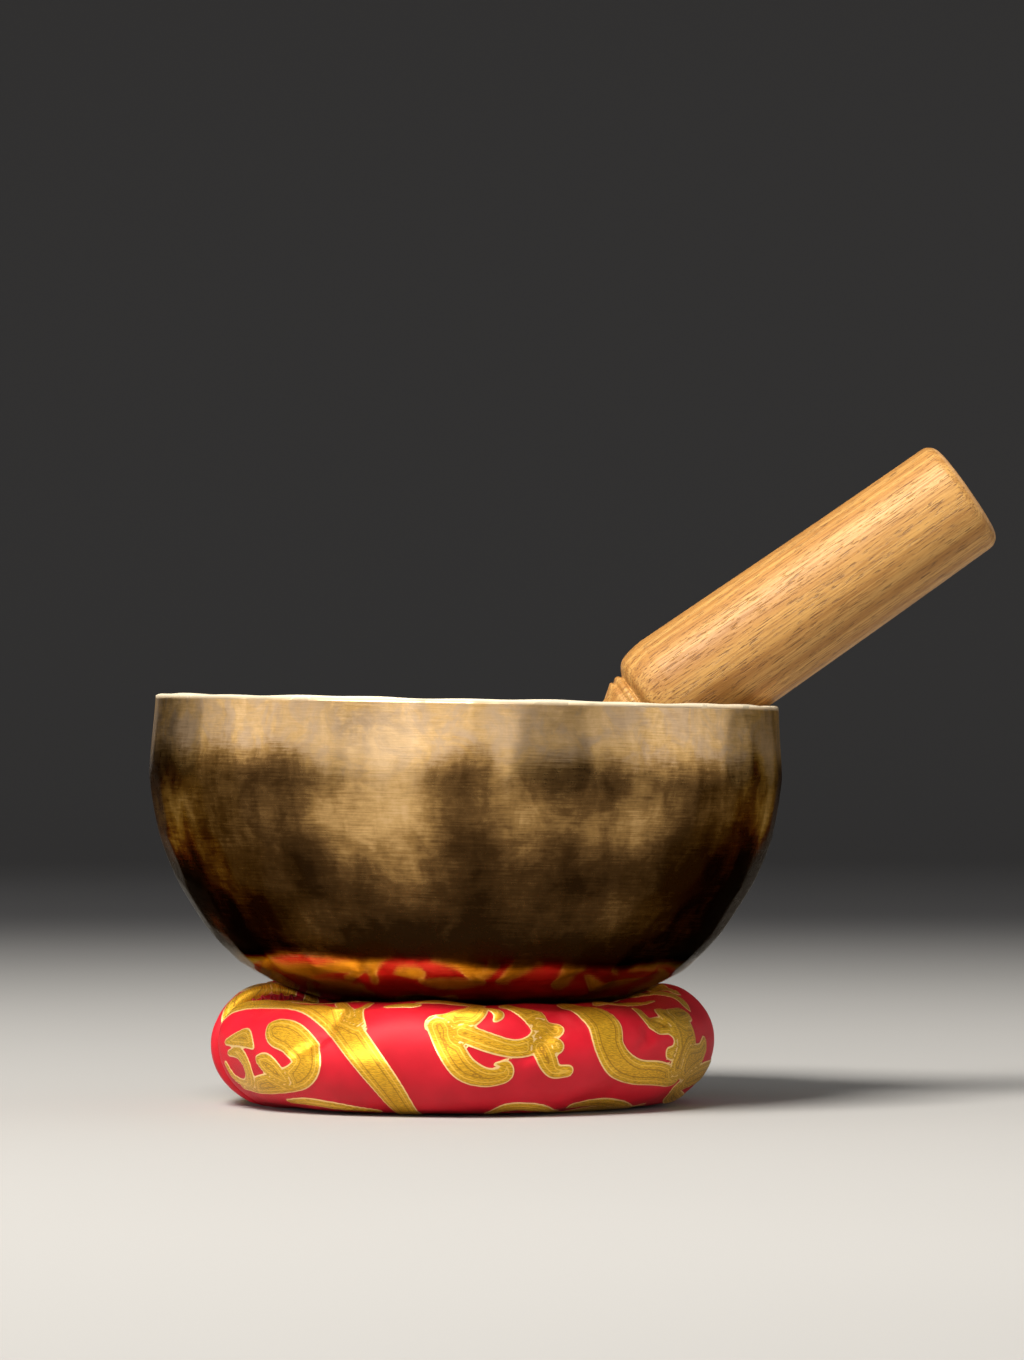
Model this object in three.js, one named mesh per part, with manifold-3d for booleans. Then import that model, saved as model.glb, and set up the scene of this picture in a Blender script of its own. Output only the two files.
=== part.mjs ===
// A singing bowl on its ring cushion, with a wooden mallet leaning in it.
// Millimetres, +Z up. The cushion stands on z = 0, and the origin is under the middle of the whole.

import * as THREE from 'three';
import { mergeVertices } from 'three/addons/utils/BufferGeometryUtils.js';
import Module from 'manifold-3d';

const wasm = await Module();
wasm.setup();

// ---------------------------------------------------------------- driving dimensions

const CLEARANCE = 0.3;               // gap kept between pieces that touch
const ROUND_STEPS = 48;              // flats around the bowl and the cushion
const MALLET_STEPS = 32;             // flats around the mallet

const BOWL_RADIUS = 62.6;            // widest outside radius, a little below the rim
const BOWL_HEIGHT = 61;              // underside to rim
const BOWL_WALL = 2.6;
const RIM_BEVEL = 0.4;
const RIM_Z = 80;                    // height of the rim's centre above the floor
const BOWL_LEAN = THREE.MathUtils.degToRad(1.15);     // the bowl leans towards +X

const CUSHION_RADIUS = 49.8;         // outside radius of the ring
const TUBE_WIDTH = 28;               // radial width of the stuffed tube
const TUBE_MIDDLE_Z = 11.6;          // height where the tube is widest
const TUBE_RISE = 11.6;              // from there to the unpressed top
const TUBE_DROP = 13;                // from there down, before the floor flattens it
const COVER_THICKNESS = 1.2;         // brocade with its lining
const THREAD_RADIUS = 0.5;
const CLOSING_ANGLE = Math.PI + 0.36;                 // where the tube is closed lengthwise
const JOIN_AZIMUTH = THREE.MathUtils.degToRad(195);   // where the two ends of the tube meet
const JOIN_START = THREE.MathUtils.degToRad(-46);     // join thread, from near the floor
const JOIN_END = THREE.MathUtils.degToRad(60);        // to the bowl's seat

const MALLET_SLOPE = THREE.MathUtils.degToRad(35.4);  // mallet's axis above the rim's plane
const BARREL_LENGTH = 77.4;
const BARREL_NECK_RADIUS = 12.6;
const BARREL_END_RADIUS = 11.9;
const BARREL_SHOULDER = 7;           // length over which the neck end is rounded
const BARREL_INSIDE = 2.6;           // barrel on the bowl's side of the rim's plane, on the axis
const BARREL_EDGE = 2.6;             // rounding of the barrel's free end
const BARREL_DOME = 0.4;             // rise of that end's face
const NECK_RADIUS = 8.8;
const BEAD_RADIUS = 0.8;
const HANDLE_LENGTH = 86.7;
const KNOB_RADIUS = 7.8;             // round end of the handle

// ---------------------------------------------------------------- materials

const bronze = new THREE.MeshStandardMaterial({ color: 0x8a6f35, roughness: 0.35, metalness: 1 });
const hardwood = new THREE.MeshStandardMaterial({ color: 0xb07a45, roughness: 0.55, metalness: 0 });
const brocade = new THREE.MeshStandardMaterial({ color: 0xb3122a, roughness: 0.6, metalness: 0 });
const wadding = new THREE.MeshStandardMaterial({ color: 0xe8e2d4, roughness: 1, metalness: 0 });
const thread = new THREE.MeshStandardMaterial({ color: 0xa81a2c, roughness: 0.8, metalness: 0 });

// ---------------------------------------------------------------- helpers

// Turns a closed [radius, height] outline about +Z. The outline runs upwards on its outer side.
function turned(outline, steps = ROUND_STEPS) {
  const points = outline.map(([radius, height]) => new THREE.Vector2(radius, height));
  return new THREE.LatheGeometry(points, steps).rotateX(Math.PI / 2);
}

// Points of a circular arc about [x, y], between two angles in degrees.
function arc([x, y], radius, from, to, steps) {
  return Array.from({ length: steps + 1 }, (_, i) => {
    const angle = THREE.MathUtils.degToRad(from + ((to - from) * i) / steps);
    return [x + radius * Math.cos(angle), y + radius * Math.sin(angle)];
  });
}

// A smooth curve through a few [x, y] points.
function smoothCurve(points) {
  return new THREE.SplineCurve(points.map(([x, y]) => new THREE.Vector2(x, y)));
}

function solidOf(geometry) {
  const bare = geometry.clone();
  bare.deleteAttribute('normal');
  bare.deleteAttribute('uv');
  const merged = mergeVertices(bare, 1e-4);
  const corners = merged.index.array;
  const kept = [];
  for (let i = 0; i < corners.length; i += 3) {
    const [a, b, c] = [corners[i], corners[i + 1], corners[i + 2]];
    if (a !== b && b !== c && c !== a) kept.push(a, b, c);
  }
  const vertProperties = new Float32Array(merged.attributes.position.array);
  const triVerts = new Uint32Array(kept);
  return new wasm.Manifold(new wasm.Mesh({ numProp: 3, vertProperties, triVerts }));
}

function geometryOf(solid) {
  const { vertProperties, triVerts } = solid.getMesh();
  const geometry = new THREE.BufferGeometry();
  geometry.setAttribute('position', new THREE.BufferAttribute(vertProperties, 3));
  geometry.setIndex(new THREE.BufferAttribute(triVerts, 1));
  geometry.computeVertexNormals();
  return geometry;
}

function piece(name, geometry, material) {
  const mesh = new THREE.Mesh(geometry, material);
  mesh.name = name;
  return mesh;
}

// ---------------------------------------------------------------- bowl

// Outer side of the bowl, from the middle of the underside to the foot of the rim's bevel:
// a nearly flat bottom, a round lower curve, a belly and a slightly drawn-in rim.
const bowlCurve = smoothCurve([
  [0, 0],
  [22, 0.7],
  [34, 3.4],
  [44, 8.3],
  [50.7, 15],
  [56.6, 24.3],
  [60.6, 34],
  [BOWL_RADIUS, 46],
  [61.6, BOWL_HEIGHT - RIM_BEVEL],
]);

// The same curve moved out along its normal, or in where distance is negative.
function bowlSide(distance, steps = 18) {
  return Array.from({ length: steps + 1 }, (_, i) => {
    const point = bowlCurve.getPointAt(i / steps);
    const tangent = bowlCurve.getTangentAt(i / steps);
    const radius = i === 0 ? 0 : point.x + tangent.y * distance;
    return [radius, point.y - tangent.x * distance];
  });
}

function bowlOutline() {
  const outside = bowlSide(0);
  const inside = bowlSide(-BOWL_WALL).reverse();
  const rimOuter = outside.at(-1)[0] - RIM_BEVEL;
  const rimInner = inside[0][0] + RIM_BEVEL;
  return [...outside, [rimOuter, BOWL_HEIGHT], [rimInner, BOWL_HEIGHT], ...inside];
}

// The room that the bowl takes up, grown by a margin, as one solid without its hollow.
function bowlRoom(margin) {
  const side = bowlSide(margin);
  return turned([...side, [0, side.at(-1)[1]]]);
}

const bowlPlace = new THREE.Object3D();
bowlPlace.position.z = RIM_Z - BOWL_HEIGHT * Math.cos(BOWL_LEAN);
bowlPlace.rotation.y = BOWL_LEAN;
bowlPlace.updateMatrix();

// ---------------------------------------------------------------- mallet

// The mallet's outline from the handle's round end to the barrel's free end, as [radius, length]:
// knob, waisted grip, collar, bead, and the barrel with its rounded shoulder and free end.
function malletOutline() {
  const neck = HANDLE_LENGTH;
  const total = HANDLE_LENGTH + BARREL_LENGTH;
  const knobRound = 6;
  const grip = smoothCurve([
    [KNOB_RADIUS, 8],
    [8, 16],
    [6.9, neck - 45],
    [5.7, neck - 23],
    [5.9, neck - 13],
    [7.1, neck - 5.6],
  ]);
  const beadMiddle = [NECK_RADIUS - 0.1, neck - BEAD_RADIUS - 0.1];
  const edgeMiddle = [BARREL_END_RADIUS - BARREL_EDGE, total - BARREL_EDGE - BARREL_DOME];
  return [
    [0, 0],
    ...arc([KNOB_RADIUS - knobRound, knobRound], knobRound, -90, -15, 5),
    ...grip.getPoints(10).map((point) => [point.x, point.y]),
    [9.2, neck - 2.5],                                // collar
    [NECK_RADIUS - 0.1, neck - 2],
    ...arc(beadMiddle, BEAD_RADIUS, -60, 60, 3),
    [NECK_RADIUS, neck],
    [11.1, neck + 1.4],
    [12.1, neck + 3.6],
    [BARREL_NECK_RADIUS, neck + BARREL_SHOULDER],
    ...arc(edgeMiddle, BARREL_EDGE, 0, 75, 4),
    [0, total],
  ];
}

// Distance from the bowl's axis at which the mallet's axis crosses the rim's plane, so that the
// barrel rests on the inner edge of the rim.
function malletCrossing() {
  const rimContact = bowlSide(-BOWL_WALL).at(-1)[0] + RIM_BEVEL;
  const taper = (BARREL_NECK_RADIUS - BARREL_END_RADIUS) / (BARREL_LENGTH - BARREL_SHOULDER);
  const fromNeck = BARREL_INSIDE + BARREL_NECK_RADIUS / Math.tan(MALLET_SLOPE) - BARREL_SHOULDER;
  const contactRadius = BARREL_NECK_RADIUS - taper * fromNeck;
  return rimContact - (contactRadius + CLEARANCE) / Math.sin(MALLET_SLOPE);
}

const mallet = piece('mallet', turned(malletOutline(), MALLET_STEPS), hardwood);
const malletPlace = new THREE.Group();
malletPlace.position.set(malletCrossing(), 0, BOWL_HEIGHT);
malletPlace.rotation.y = Math.PI / 2 - MALLET_SLOPE;
mallet.position.z = -(HANDLE_LENGTH + BARREL_INSIDE);
malletPlace.add(mallet);

// ---------------------------------------------------------------- cushion

const tubeRing = CUSHION_RADIUS - TUBE_WIDTH / 2;     // radius of the ring's middle line

// A point of the stuffed tube's section, moved inwards: an ellipse that the floor flattens.
function tubePoint(angle, inset) {
  const reach = Math.sin(angle) < 0 ? TUBE_DROP : TUBE_RISE;
  const radius = tubeRing + (TUBE_WIDTH / 2 - inset) * Math.cos(angle);
  const height = TUBE_MIDDLE_Z + (reach - inset) * Math.sin(angle);
  return [radius, Math.max(inset, height)];
}

// The stuffed ring, moved inwards from its surface and pressed by the bowl in the same way.
function pressedRing(inset, steps) {
  const section = Array.from({ length: steps + 1 }, (_, i) => {
    return tubePoint(((i % steps) * 2 * Math.PI) / steps, inset);
  });
  const room = bowlRoom(CLEARANCE + inset).applyMatrix4(bowlPlace.matrix);
  return solidOf(turned(section)).subtract(solidOf(room));
}

// The brocade as a shell, open along the slit where it is sewn shut in the hole of the ring.
function cushionCover() {
  const [radius, height] = tubePoint(CLOSING_ANGLE, 0);
  const slitDepth = 2;
  const slitHalf = CLEARANCE;
  const slitOutline = [
    [radius - slitDepth, height - slitHalf],
    [radius + slitDepth, height - slitHalf],
    [radius + slitDepth, height + slitHalf],
    [radius - slitDepth, height + slitHalf],
    [radius - slitDepth, height - slitHalf],
  ];
  const hollow = pressedRing(COVER_THICKNESS, 16).add(solidOf(turned(slitOutline)));
  return geometryOf(pressedRing(0, 20).subtract(hollow));
}

function cushionFilling() {
  return geometryOf(pressedRing(COVER_THICKNESS + CLEARANCE, 16));
}

// A thread swept along a path, with a six-sided section.
function threadAlong(path, steps) {
  const section = new THREE.Shape();
  const corners = arc([0, 0], THREAD_RADIUS, 0, 300, 5);
  section.setFromPoints(corners.map(([x, y]) => new THREE.Vector2(x, y)));
  return new THREE.ExtrudeGeometry(section, { steps, extrudePath: path, bevelEnabled: false });
}

// The lengthwise thread: a closed ring just outside the slit.
function closingThread() {
  const middle = tubePoint(CLOSING_ANGLE, -(CLEARANCE + THREAD_RADIUS));
  const corners = arc(middle, THREAD_RADIUS, 0, 300, 5);
  return turned([...corners, corners[0]]);
}

// The thread across the join: up the outside of the tube, from the floor to the bowl's seat.
function joinThread() {
  const spans = 8;
  const points = Array.from({ length: spans + 1 }, (_, i) => {
    const angle = JOIN_START + ((JOIN_END - JOIN_START) * i) / spans;
    const [radius, height] = tubePoint(angle, -(CLEARANCE + THREAD_RADIUS));
    const x = radius * Math.cos(JOIN_AZIMUTH);
    const y = radius * Math.sin(JOIN_AZIMUTH);
    return new THREE.Vector3(x, y, height);
  });
  return threadAlong(new THREE.CatmullRomCurve3(points), 16);
}

// ---------------------------------------------------------------- assembly

const leaning = new THREE.Group();
leaning.position.copy(bowlPlace.position);
leaning.rotation.copy(bowlPlace.rotation);
leaning.add(piece('bowl', turned(bowlOutline()), bronze));
leaning.add(malletPlace);

const assembly = new THREE.Group();
assembly.add(leaning);
assembly.add(piece('cushion_cover', cushionCover(), brocade));
assembly.add(piece('cushion_filling', cushionFilling(), wadding));
assembly.add(piece('closing_thread', closingThread(), thread));
assembly.add(piece('join_thread', joinThread(), thread));

// The origin goes under the middle of the whole, mallet included.
const extent = new THREE.Box3().setFromObject(assembly, true);
assembly.position.x = -(extent.min.x + extent.max.x) / 2;

export default assembly;
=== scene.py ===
"""Looks of the singing bowl set: a hammered bronze bowl, a turned wooden mallet and a brocade
ring cushion. Shapes are worked out in millimetres and written to the meshes in metres."""

import math

import bpy
import numpy as np
from mathutils import Matrix, Vector


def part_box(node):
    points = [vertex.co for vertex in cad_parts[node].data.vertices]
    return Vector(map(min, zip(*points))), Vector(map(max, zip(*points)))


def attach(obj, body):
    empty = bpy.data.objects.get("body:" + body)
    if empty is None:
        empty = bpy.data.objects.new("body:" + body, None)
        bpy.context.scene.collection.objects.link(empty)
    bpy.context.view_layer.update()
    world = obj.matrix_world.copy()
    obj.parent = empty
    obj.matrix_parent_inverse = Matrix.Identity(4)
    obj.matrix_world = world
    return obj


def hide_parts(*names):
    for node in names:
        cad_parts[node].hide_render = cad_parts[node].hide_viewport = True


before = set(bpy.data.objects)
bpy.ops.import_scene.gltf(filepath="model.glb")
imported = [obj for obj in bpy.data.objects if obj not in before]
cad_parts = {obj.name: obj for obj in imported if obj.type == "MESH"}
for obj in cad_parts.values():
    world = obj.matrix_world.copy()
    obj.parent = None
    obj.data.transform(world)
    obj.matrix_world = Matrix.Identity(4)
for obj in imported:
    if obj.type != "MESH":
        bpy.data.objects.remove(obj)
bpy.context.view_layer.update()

MM = 0.001
TURN = 2 * math.pi


def box_mm(node):
    """Lowest and highest corners of a CAD node, in millimetres."""
    low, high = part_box(node)
    return np.array(low) / MM, np.array(high) / MM


# ---------------------------------------------------------------- driving dimensions (mm)

BOWL_HEIGHT = 61.0
BOWL_WALL = 2.6
RIM_BEVEL = 0.4
BOWL_LEAN = math.radians(1.15)

TUBE_WIDTH = 28.0
TUBE_MIDDLE_Z = 11.6
TUBE_RISE = 11.6
TUBE_DROP = 13.0
JOIN_AZIMUTH = math.radians(195)

cushion_low, cushion_high = box_mm("cushion_cover")
cushion_middle = (cushion_low + cushion_high) / 2
CUSHION_X = cushion_middle[0]
CUSHION_RADIUS = (cushion_high[1] - cushion_low[1]) / 2
TUBE_RING = CUSHION_RADIUS - TUBE_WIDTH / 2

BOWL_BASE_Z = box_mm("bowl")[0][2]

bowl_place = (
    Matrix.Translation((CUSHION_X, 0, BOWL_BASE_Z)) @ Matrix.Rotation(BOWL_LEAN, 4, "Y")
)


# ---------------------------------------------------------------- curves and meshes


def catmull_rom(points, per_span=24):
    """A smooth line through a few points; its ends are clamped."""
    points = np.asarray(points, float)
    padded = np.vstack([points[:1], points, points[-1:]])
    line = []
    for i in range(len(points) - 1):
        p0, p1, p2, p3 = padded[i : i + 4]
        t = np.linspace(0, 1, per_span, endpoint=False)[:, None]
        m1 = (p2 - p0) / 2
        m2 = (p3 - p1) / 2
        line.append(
            (2 * t**3 - 3 * t**2 + 1) * p1
            + (t**3 - 2 * t**2 + t) * m1
            + (3 * t**2 - 2 * t**3) * p2
            + (t**3 - t**2) * m2
        )
    return np.vstack([*line, points[-1:]])


def resampled(line, count):
    """The same line with its points at equal distances."""
    steps = np.hypot(*np.diff(line, axis=0).T)
    along = np.concatenate([[0], np.cumsum(steps)])
    wanted = np.linspace(0, along[-1], count)
    return np.stack([np.interp(wanted, along, axis) for axis in line.T], axis=1)


def arc_lengths(line):
    """Distance along a line at each of its points, from 0."""
    return np.concatenate([[0], np.cumsum(np.hypot(*np.diff(line, axis=0).T))])


def normals_of(line):
    """Unit normals on the right-hand side of a line of [x, y] points."""
    tangent = np.gradient(line, axis=0)
    tangent /= np.maximum(np.hypot(*tangent.T)[:, None], 1e-9)
    return np.stack([tangent[:, 1], -tangent[:, 0]], axis=1)


def arc(centre, radius, start, stop, count):
    """Points of an arc between two directions in degrees."""
    angles = np.radians(np.linspace(start, stop, count))
    return np.stack(
        [centre[0] + radius * np.cos(angles), centre[1] + radius * np.sin(angles)], axis=1
    )


def grid_faces(rows, columns, close_rows):
    """Corners of the quads of a grid whose columns close on themselves, facing out."""
    row = np.arange(rows if close_rows else rows - 1)[:, None]
    column = np.arange(columns)[None, :]
    next_row = (row + 1) % rows
    next_column = (column + 1) % columns
    corners = [
        row * columns + column,
        row * columns + next_column,
        next_row * columns + next_column,
        next_row * columns + column,
    ]
    return np.stack(np.broadcast_arrays(*corners), axis=-1).reshape(-1, 4)


def new_object(name, points, faces, material, body):
    """A smooth-shaded mesh object from points in millimetres, riding on a body."""
    mesh = bpy.data.meshes.new(name)
    mesh.from_pydata((np.asarray(points) * MM).tolist(), [], [list(face) for face in faces])
    mesh.materials.append(material)
    mesh.shade_smooth()
    made = bpy.data.objects.new(name, mesh)
    bpy.context.scene.collection.objects.link(made)
    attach(made, body)
    return made


def placed(points, matrix):
    """Points moved by a 4 by 4 matrix whose lengths are millimetres."""
    matrix = np.array(matrix)
    return points @ matrix[:3, :3].T + matrix[:3, 3]


def lathe_points(radius, height, columns):
    """A grid of points from radius and height, each given per row or per row and column."""
    angle = np.arange(columns) * TURN / columns
    radius = np.broadcast_to(np.asarray(radius), (len(radius), columns))
    height = np.broadcast_to(np.asarray(height), (len(height), columns))
    return np.stack([radius * np.cos(angle), radius * np.sin(angle), height], axis=-1)


def pole_faces(rows, columns, first_pole, last_pole):
    """Triangles that close a lathe's first and last rows onto their poles."""
    column = np.arange(columns)
    following = (column + 1) % columns
    top = (rows - 1) * columns
    bottom = [(first_pole, b, a) for a, b in zip(column, following)]
    return bottom + [(last_pole, top + a, top + b) for a, b in zip(column, following)]


def set_values(made, name, values):
    """Stores one number per vertex for the material to read."""
    attribute = made.data.attributes.new(name, "FLOAT", "POINT")
    attribute.data.foreach_set("value", np.asarray(values, np.float32).ravel())


def set_vectors(made, name, vectors, domain="POINT"):
    """Stores one vector per vertex, or per face corner, for the material to read."""
    attribute = made.data.attributes.new(name, "FLOAT_VECTOR", domain)
    attribute.data.foreach_set("vector", np.asarray(vectors, np.float32).ravel())


def smoothstep(low, high, value):
    """0 below low, 1 above high and a smooth step between them."""
    t = np.clip((value - low) / (high - low), 0, 1)
    return t * t * (3 - 2 * t)


# ---------------------------------------------------------------- shader helpers


class Shader:
    """A node material that is written as nested calls."""

    def __init__(self, name):
        self.material = bpy.data.materials.new(name)
        self.material.use_nodes = True
        self.tree = self.material.node_tree
        self.tree.nodes.clear()

    def node(self, kind, inputs=None, **settings):
        made = self.tree.nodes.new("ShaderNode" + kind)
        for name, value in settings.items():
            setattr(made, name, value)
        for key, value in (inputs or {}).items():
            if isinstance(value, bpy.types.NodeSocket):
                self.tree.links.new(value, made.inputs[key])
            else:
                made.inputs[key].default_value = value
        return made

    def attribute(self, name, vector=False):
        made = self.node("Attribute", attribute_name=name)
        return made.outputs["Vector" if vector else "Fac"]

    def math(self, operation, a, b=0.0):
        return self.node("Math", {0: a, 1: b}, operation=operation).outputs[0]

    def scaled(self, vector, scale):
        return self.node("Mapping", {"Vector": vector, "Scale": scale}).outputs[0]

    def noise(self, vector, scale, detail=3.0, roughness=0.55, distortion=0.0):
        inputs = {
            "Vector": vector,
            "Scale": scale,
            "Detail": detail,
            "Roughness": roughness,
            "Distortion": distortion,
        }
        return self.node("TexNoise", inputs).outputs[0]

    def band(self, value, low, high, to_low=0.0, to_high=1.0):
        """A value stretched from low..high to to_low..to_high, smoothly and clamped."""
        inputs = {0: value, 1: low, 2: high, 3: to_low, 4: to_high}
        return self.node("MapRange", inputs, interpolation_type="SMOOTHSTEP").outputs[0]

    def mix(self, factor, a, b):
        """One colour blended into another: all a at factor 0, all b at 1."""
        return self.node("Mix", {0: factor, 6: a, 7: b}, data_type="RGBA").outputs[2]

    def ramp(self, value, stops):
        """Colours at places along a value, blended evenly between them."""
        made = self.node("ValToRGB", {0: value})
        made.color_ramp.interpolation = "LINEAR"
        elements = made.color_ramp.elements
        while len(elements) < len(stops):
            elements.new(1.0)
        for element, (place, tint) in zip(elements, stops):
            element.position = place
            element.color = tint
        return made.outputs[0]

    def bump(self, height, strength, distance, normal=None):
        inputs = {"Height": height, "Strength": strength, "Distance": distance}
        if normal is not None:
            inputs["Normal"] = normal
        return self.node("Bump", inputs).outputs[0]

    def finish(self, **inputs):
        """Ends the material in a Principled BSDF; underscores stand for spaces."""
        named = {key.replace("_", " "): value for key, value in inputs.items()}
        surface = self.node("BsdfPrincipled", named).outputs[0]
        self.node("OutputMaterial", {"Surface": surface})
        return self.material


def colour(red, green, blue):
    """An opaque colour from linear red, green and blue."""
    return (red, green, blue, 1.0)


# ---------------------------------------------------------------- bowl

BOWL_OUTLINE = [
    (0, 0),
    (22, 0.7),
    (34, 3.4),
    (44, 8.3),
    (50.7, 15),
    (56.6, 24.3),
    (60.6, 34),
    (62.6, 46),
    (61.6, BOWL_HEIGHT - RIM_BEVEL),
]
BOWL_COLUMNS = 512
BOWL_ROWS = 140
INSIDE_ROWS = 110

# Rings of hammer marks: mm down the side from the rim, marks in the ring, half height in mm.
OUTSIDE_RINGS = [
    (8.5, 33, 8.5), (21, 36, 7.5), (32, 35, 7), (43, 32, 6.5),
    (53.5, 27, 6.5), (63.5, 22, 6.5), (74, 16, 6.5), (84, 10, 7),
]
INSIDE_RINGS = [(9, 26, 9), (24, 26, 9), (39, 23, 9), (54, 17, 9), (70, 10, 9)]
OUTSIDE_MARK_DEPTH = 0.30
INSIDE_MARK_DEPTH = 0.16
MARK_HALF_WIDTH = 0.64

bowl_side = resampled(catmull_rom(BOWL_OUTLINE), BOWL_ROWS + 1)[1:]


def hammer_marks(line, rings, rng, crisp=4):
    """Depth, 0 to about 1, of rings of overlapping hammer marks on a turned side.

    MARK_HALF_WIDTH is a share of a ring's pitch, and a crisper mark has sharper ridges round it."""
    angle = np.arange(BOWL_COLUMNS) * TURN / BOWL_COLUMNS
    along = arc_lengths(line)[:, None]
    radius = line[:, :1]
    total = np.zeros((len(line), BOWL_COLUMNS))
    for below_rim, count, half_height in rings:
        place = along[-1, 0] - below_rim
        ring_radius = np.interp(place, along[:, 0], radius[:, 0])
        half_width = MARK_HALF_WIDTH * TURN * ring_radius / count
        start = rng.uniform(0, TURN)
        for k in range(count):
            centre = start + (k + rng.uniform(-0.22, 0.22)) * TURN / count
            height = place + rng.uniform(-0.25, 0.25) * half_height
            size = rng.uniform(0.82, 1.2)
            force = rng.uniform(0.7, 1.15)
            turn = (angle - centre + math.pi) % TURN - math.pi
            across = radius * turn / (half_width * size)
            upward = (along - height) / (half_height * size)
            mark = force * np.clip(1 - across**2 - upward**2, 0, None)
            total += mark**crisp
    return total ** (1 / crisp)


def bowl_outside(rng):
    """The hammered outside, from near the middle of the underside to the rim's bevel."""
    depth = OUTSIDE_MARK_DEPTH * hammer_marks(bowl_side, OUTSIDE_RINGS, rng)
    normal = normals_of(bowl_side)
    radius = bowl_side[:, :1] - normal[:, :1] * depth
    height = bowl_side[:, 1:] - normal[:, 1:] * depth
    return radius, height, depth


def bowl_inside(rng):
    """The inside, from the rim down, with broader and softer marks."""
    side = bowl_side - normals_of(bowl_side) * BOWL_WALL
    side = resampled(side[side[:, 0] > 0.3], INSIDE_ROWS)
    depth = INSIDE_MARK_DEPTH * hammer_marks(side, INSIDE_RINGS, rng, crisp=3)
    normal = normals_of(side)
    radius = side[:, :1] + normal[:, :1] * depth
    height = side[:, 1:] + normal[:, 1:] * depth
    return radius[::-1], height[::-1], depth[::-1]


def bowl_rim(outer, inner):
    """The flat-filed top of the rim and its two bevels, a little uneven all round."""
    angle = np.arange(BOWL_COLUMNS) * TURN / BOWL_COLUMNS
    wave = 0.10 * np.sin(9 * angle + 0.7) + 0.08 * np.sin(23 * angle) - 0.12
    outside_edge = outer[0][-1]
    inside_edge = inner[0][0]
    steps = [(0.0, 0.0), (0.08, 0.24), (0.2, RIM_BEVEL - 0.06), (RIM_BEVEL, RIM_BEVEL)]
    rows = []
    for inwards, upwards in steps:
        rows.append((outside_edge - inwards, BOWL_HEIGHT - RIM_BEVEL + upwards + wave))
    for inwards, upwards in reversed(steps):
        rows.append((inside_edge + inwards, BOWL_HEIGHT - RIM_BEVEL + upwards + wave))
    radius = np.stack([np.broadcast_to(row[0], angle.shape) for row in rows])
    return radius, np.stack([row[1] for row in rows])


# Patches of the patina on the front, with painted reflections in them: degrees round from the
# front, mm below the rim, half width in degrees, half height in mm, and how much darker; below 0
# the patch is lighter, partly rubbed metal and partly painted highlight. The darker patches are
# partly patina and partly painted dark reflection, and the broad ones at -74 and 76 degrees are
# painted dark reflection at the bowl's sides.
FRONT_PATCHES_AND_REFLECTIONS = [
    (-63, 15, 6, 6, 0.12), (-50, 19, 8, 7, 0.15), (-33, 16, 8, 5, 0.17), (-40, 28, 12, 6, 0.08),
    (0, 17, 7.5, 9, 0.13), (3, 27, 5, 4, 0.12), (20, 17, 6, 4, 0.13), (32, 12.5, 6, 3.5, 0.17),
    (48, 17, 6, 6, 0.16), (46, 26, 6, 4, 0.10), (-31, 34, 4, 4.5, 0.24), (-54, 43, 5, 5, 0.18),
    (-42, 41, 5, 4, 0.26), (-10, 50, 7, 7, 0.24), (4, 47, 5.5, 9, 0.30), (23, 35, 6, 4, 0.22),
    # The patch at -74 degrees on this line and the one at 76 degrees below are painted dark
    # reflection at the bowl's sides.
    (48, 33, 9, 7, 0.30), (28, 51, 16, 5, 0.24), (-24, 51, 14, 3.5, 0.24), (-74, 32, 12, 20, 0.34),
    (-12, 15, 5, 9, -0.30), (-21, 20, 6, 9, -0.20), (-10, 31, 5, 8, -0.26), (7.5, 12, 3, 7, -0.26),
    (10, 25, 5, 5, -0.20), (33, 25, 5, 4.5, -0.22), (-64, 22, 5, 6, -0.16), (-18, 27, 8, 5, -0.14),
    (31, 40, 6, 4, -0.16), (-53, 35, 4, 5, -0.12), (-34, 45, 5, 4, -0.20), (12, 46, 4, 7, -0.14),
    (-3, 48, 2.5, 7, -0.10), (-46, 49, 4, 4, -0.10), (58, 13, 4, 5, -0.12), (76, 32, 14, 20, 0.40),
]
RANDOM_PATCHES = 110
HALF_FRONT = 66
FOOT_EDGE = 50.6
FOOT_PATINA = 0.22
PLAIN_PATINA = 0.35


def patina_and_shade_patches(rng):
    """The front's patches, with their painted reflections and highlights, and, round the sides and
    back, random ones of the same kinds.
    """
    patches = list(FRONT_PATCHES_AND_REFLECTIONS)
    for _ in range(RANDOM_PATCHES):
        place = rng.uniform(HALF_FRONT, 360 - HALF_FRONT)
        below_rim = rng.uniform(12, 52)
        half_width = rng.uniform(4, 11)
        half_height = rng.uniform(4, 9)
        darker = rng.choice([rng.uniform(0.12, 0.3), rng.uniform(-0.3, -0.1)])
        patches.append((place, below_rim, half_width, half_height, darker))
    return patches


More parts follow.
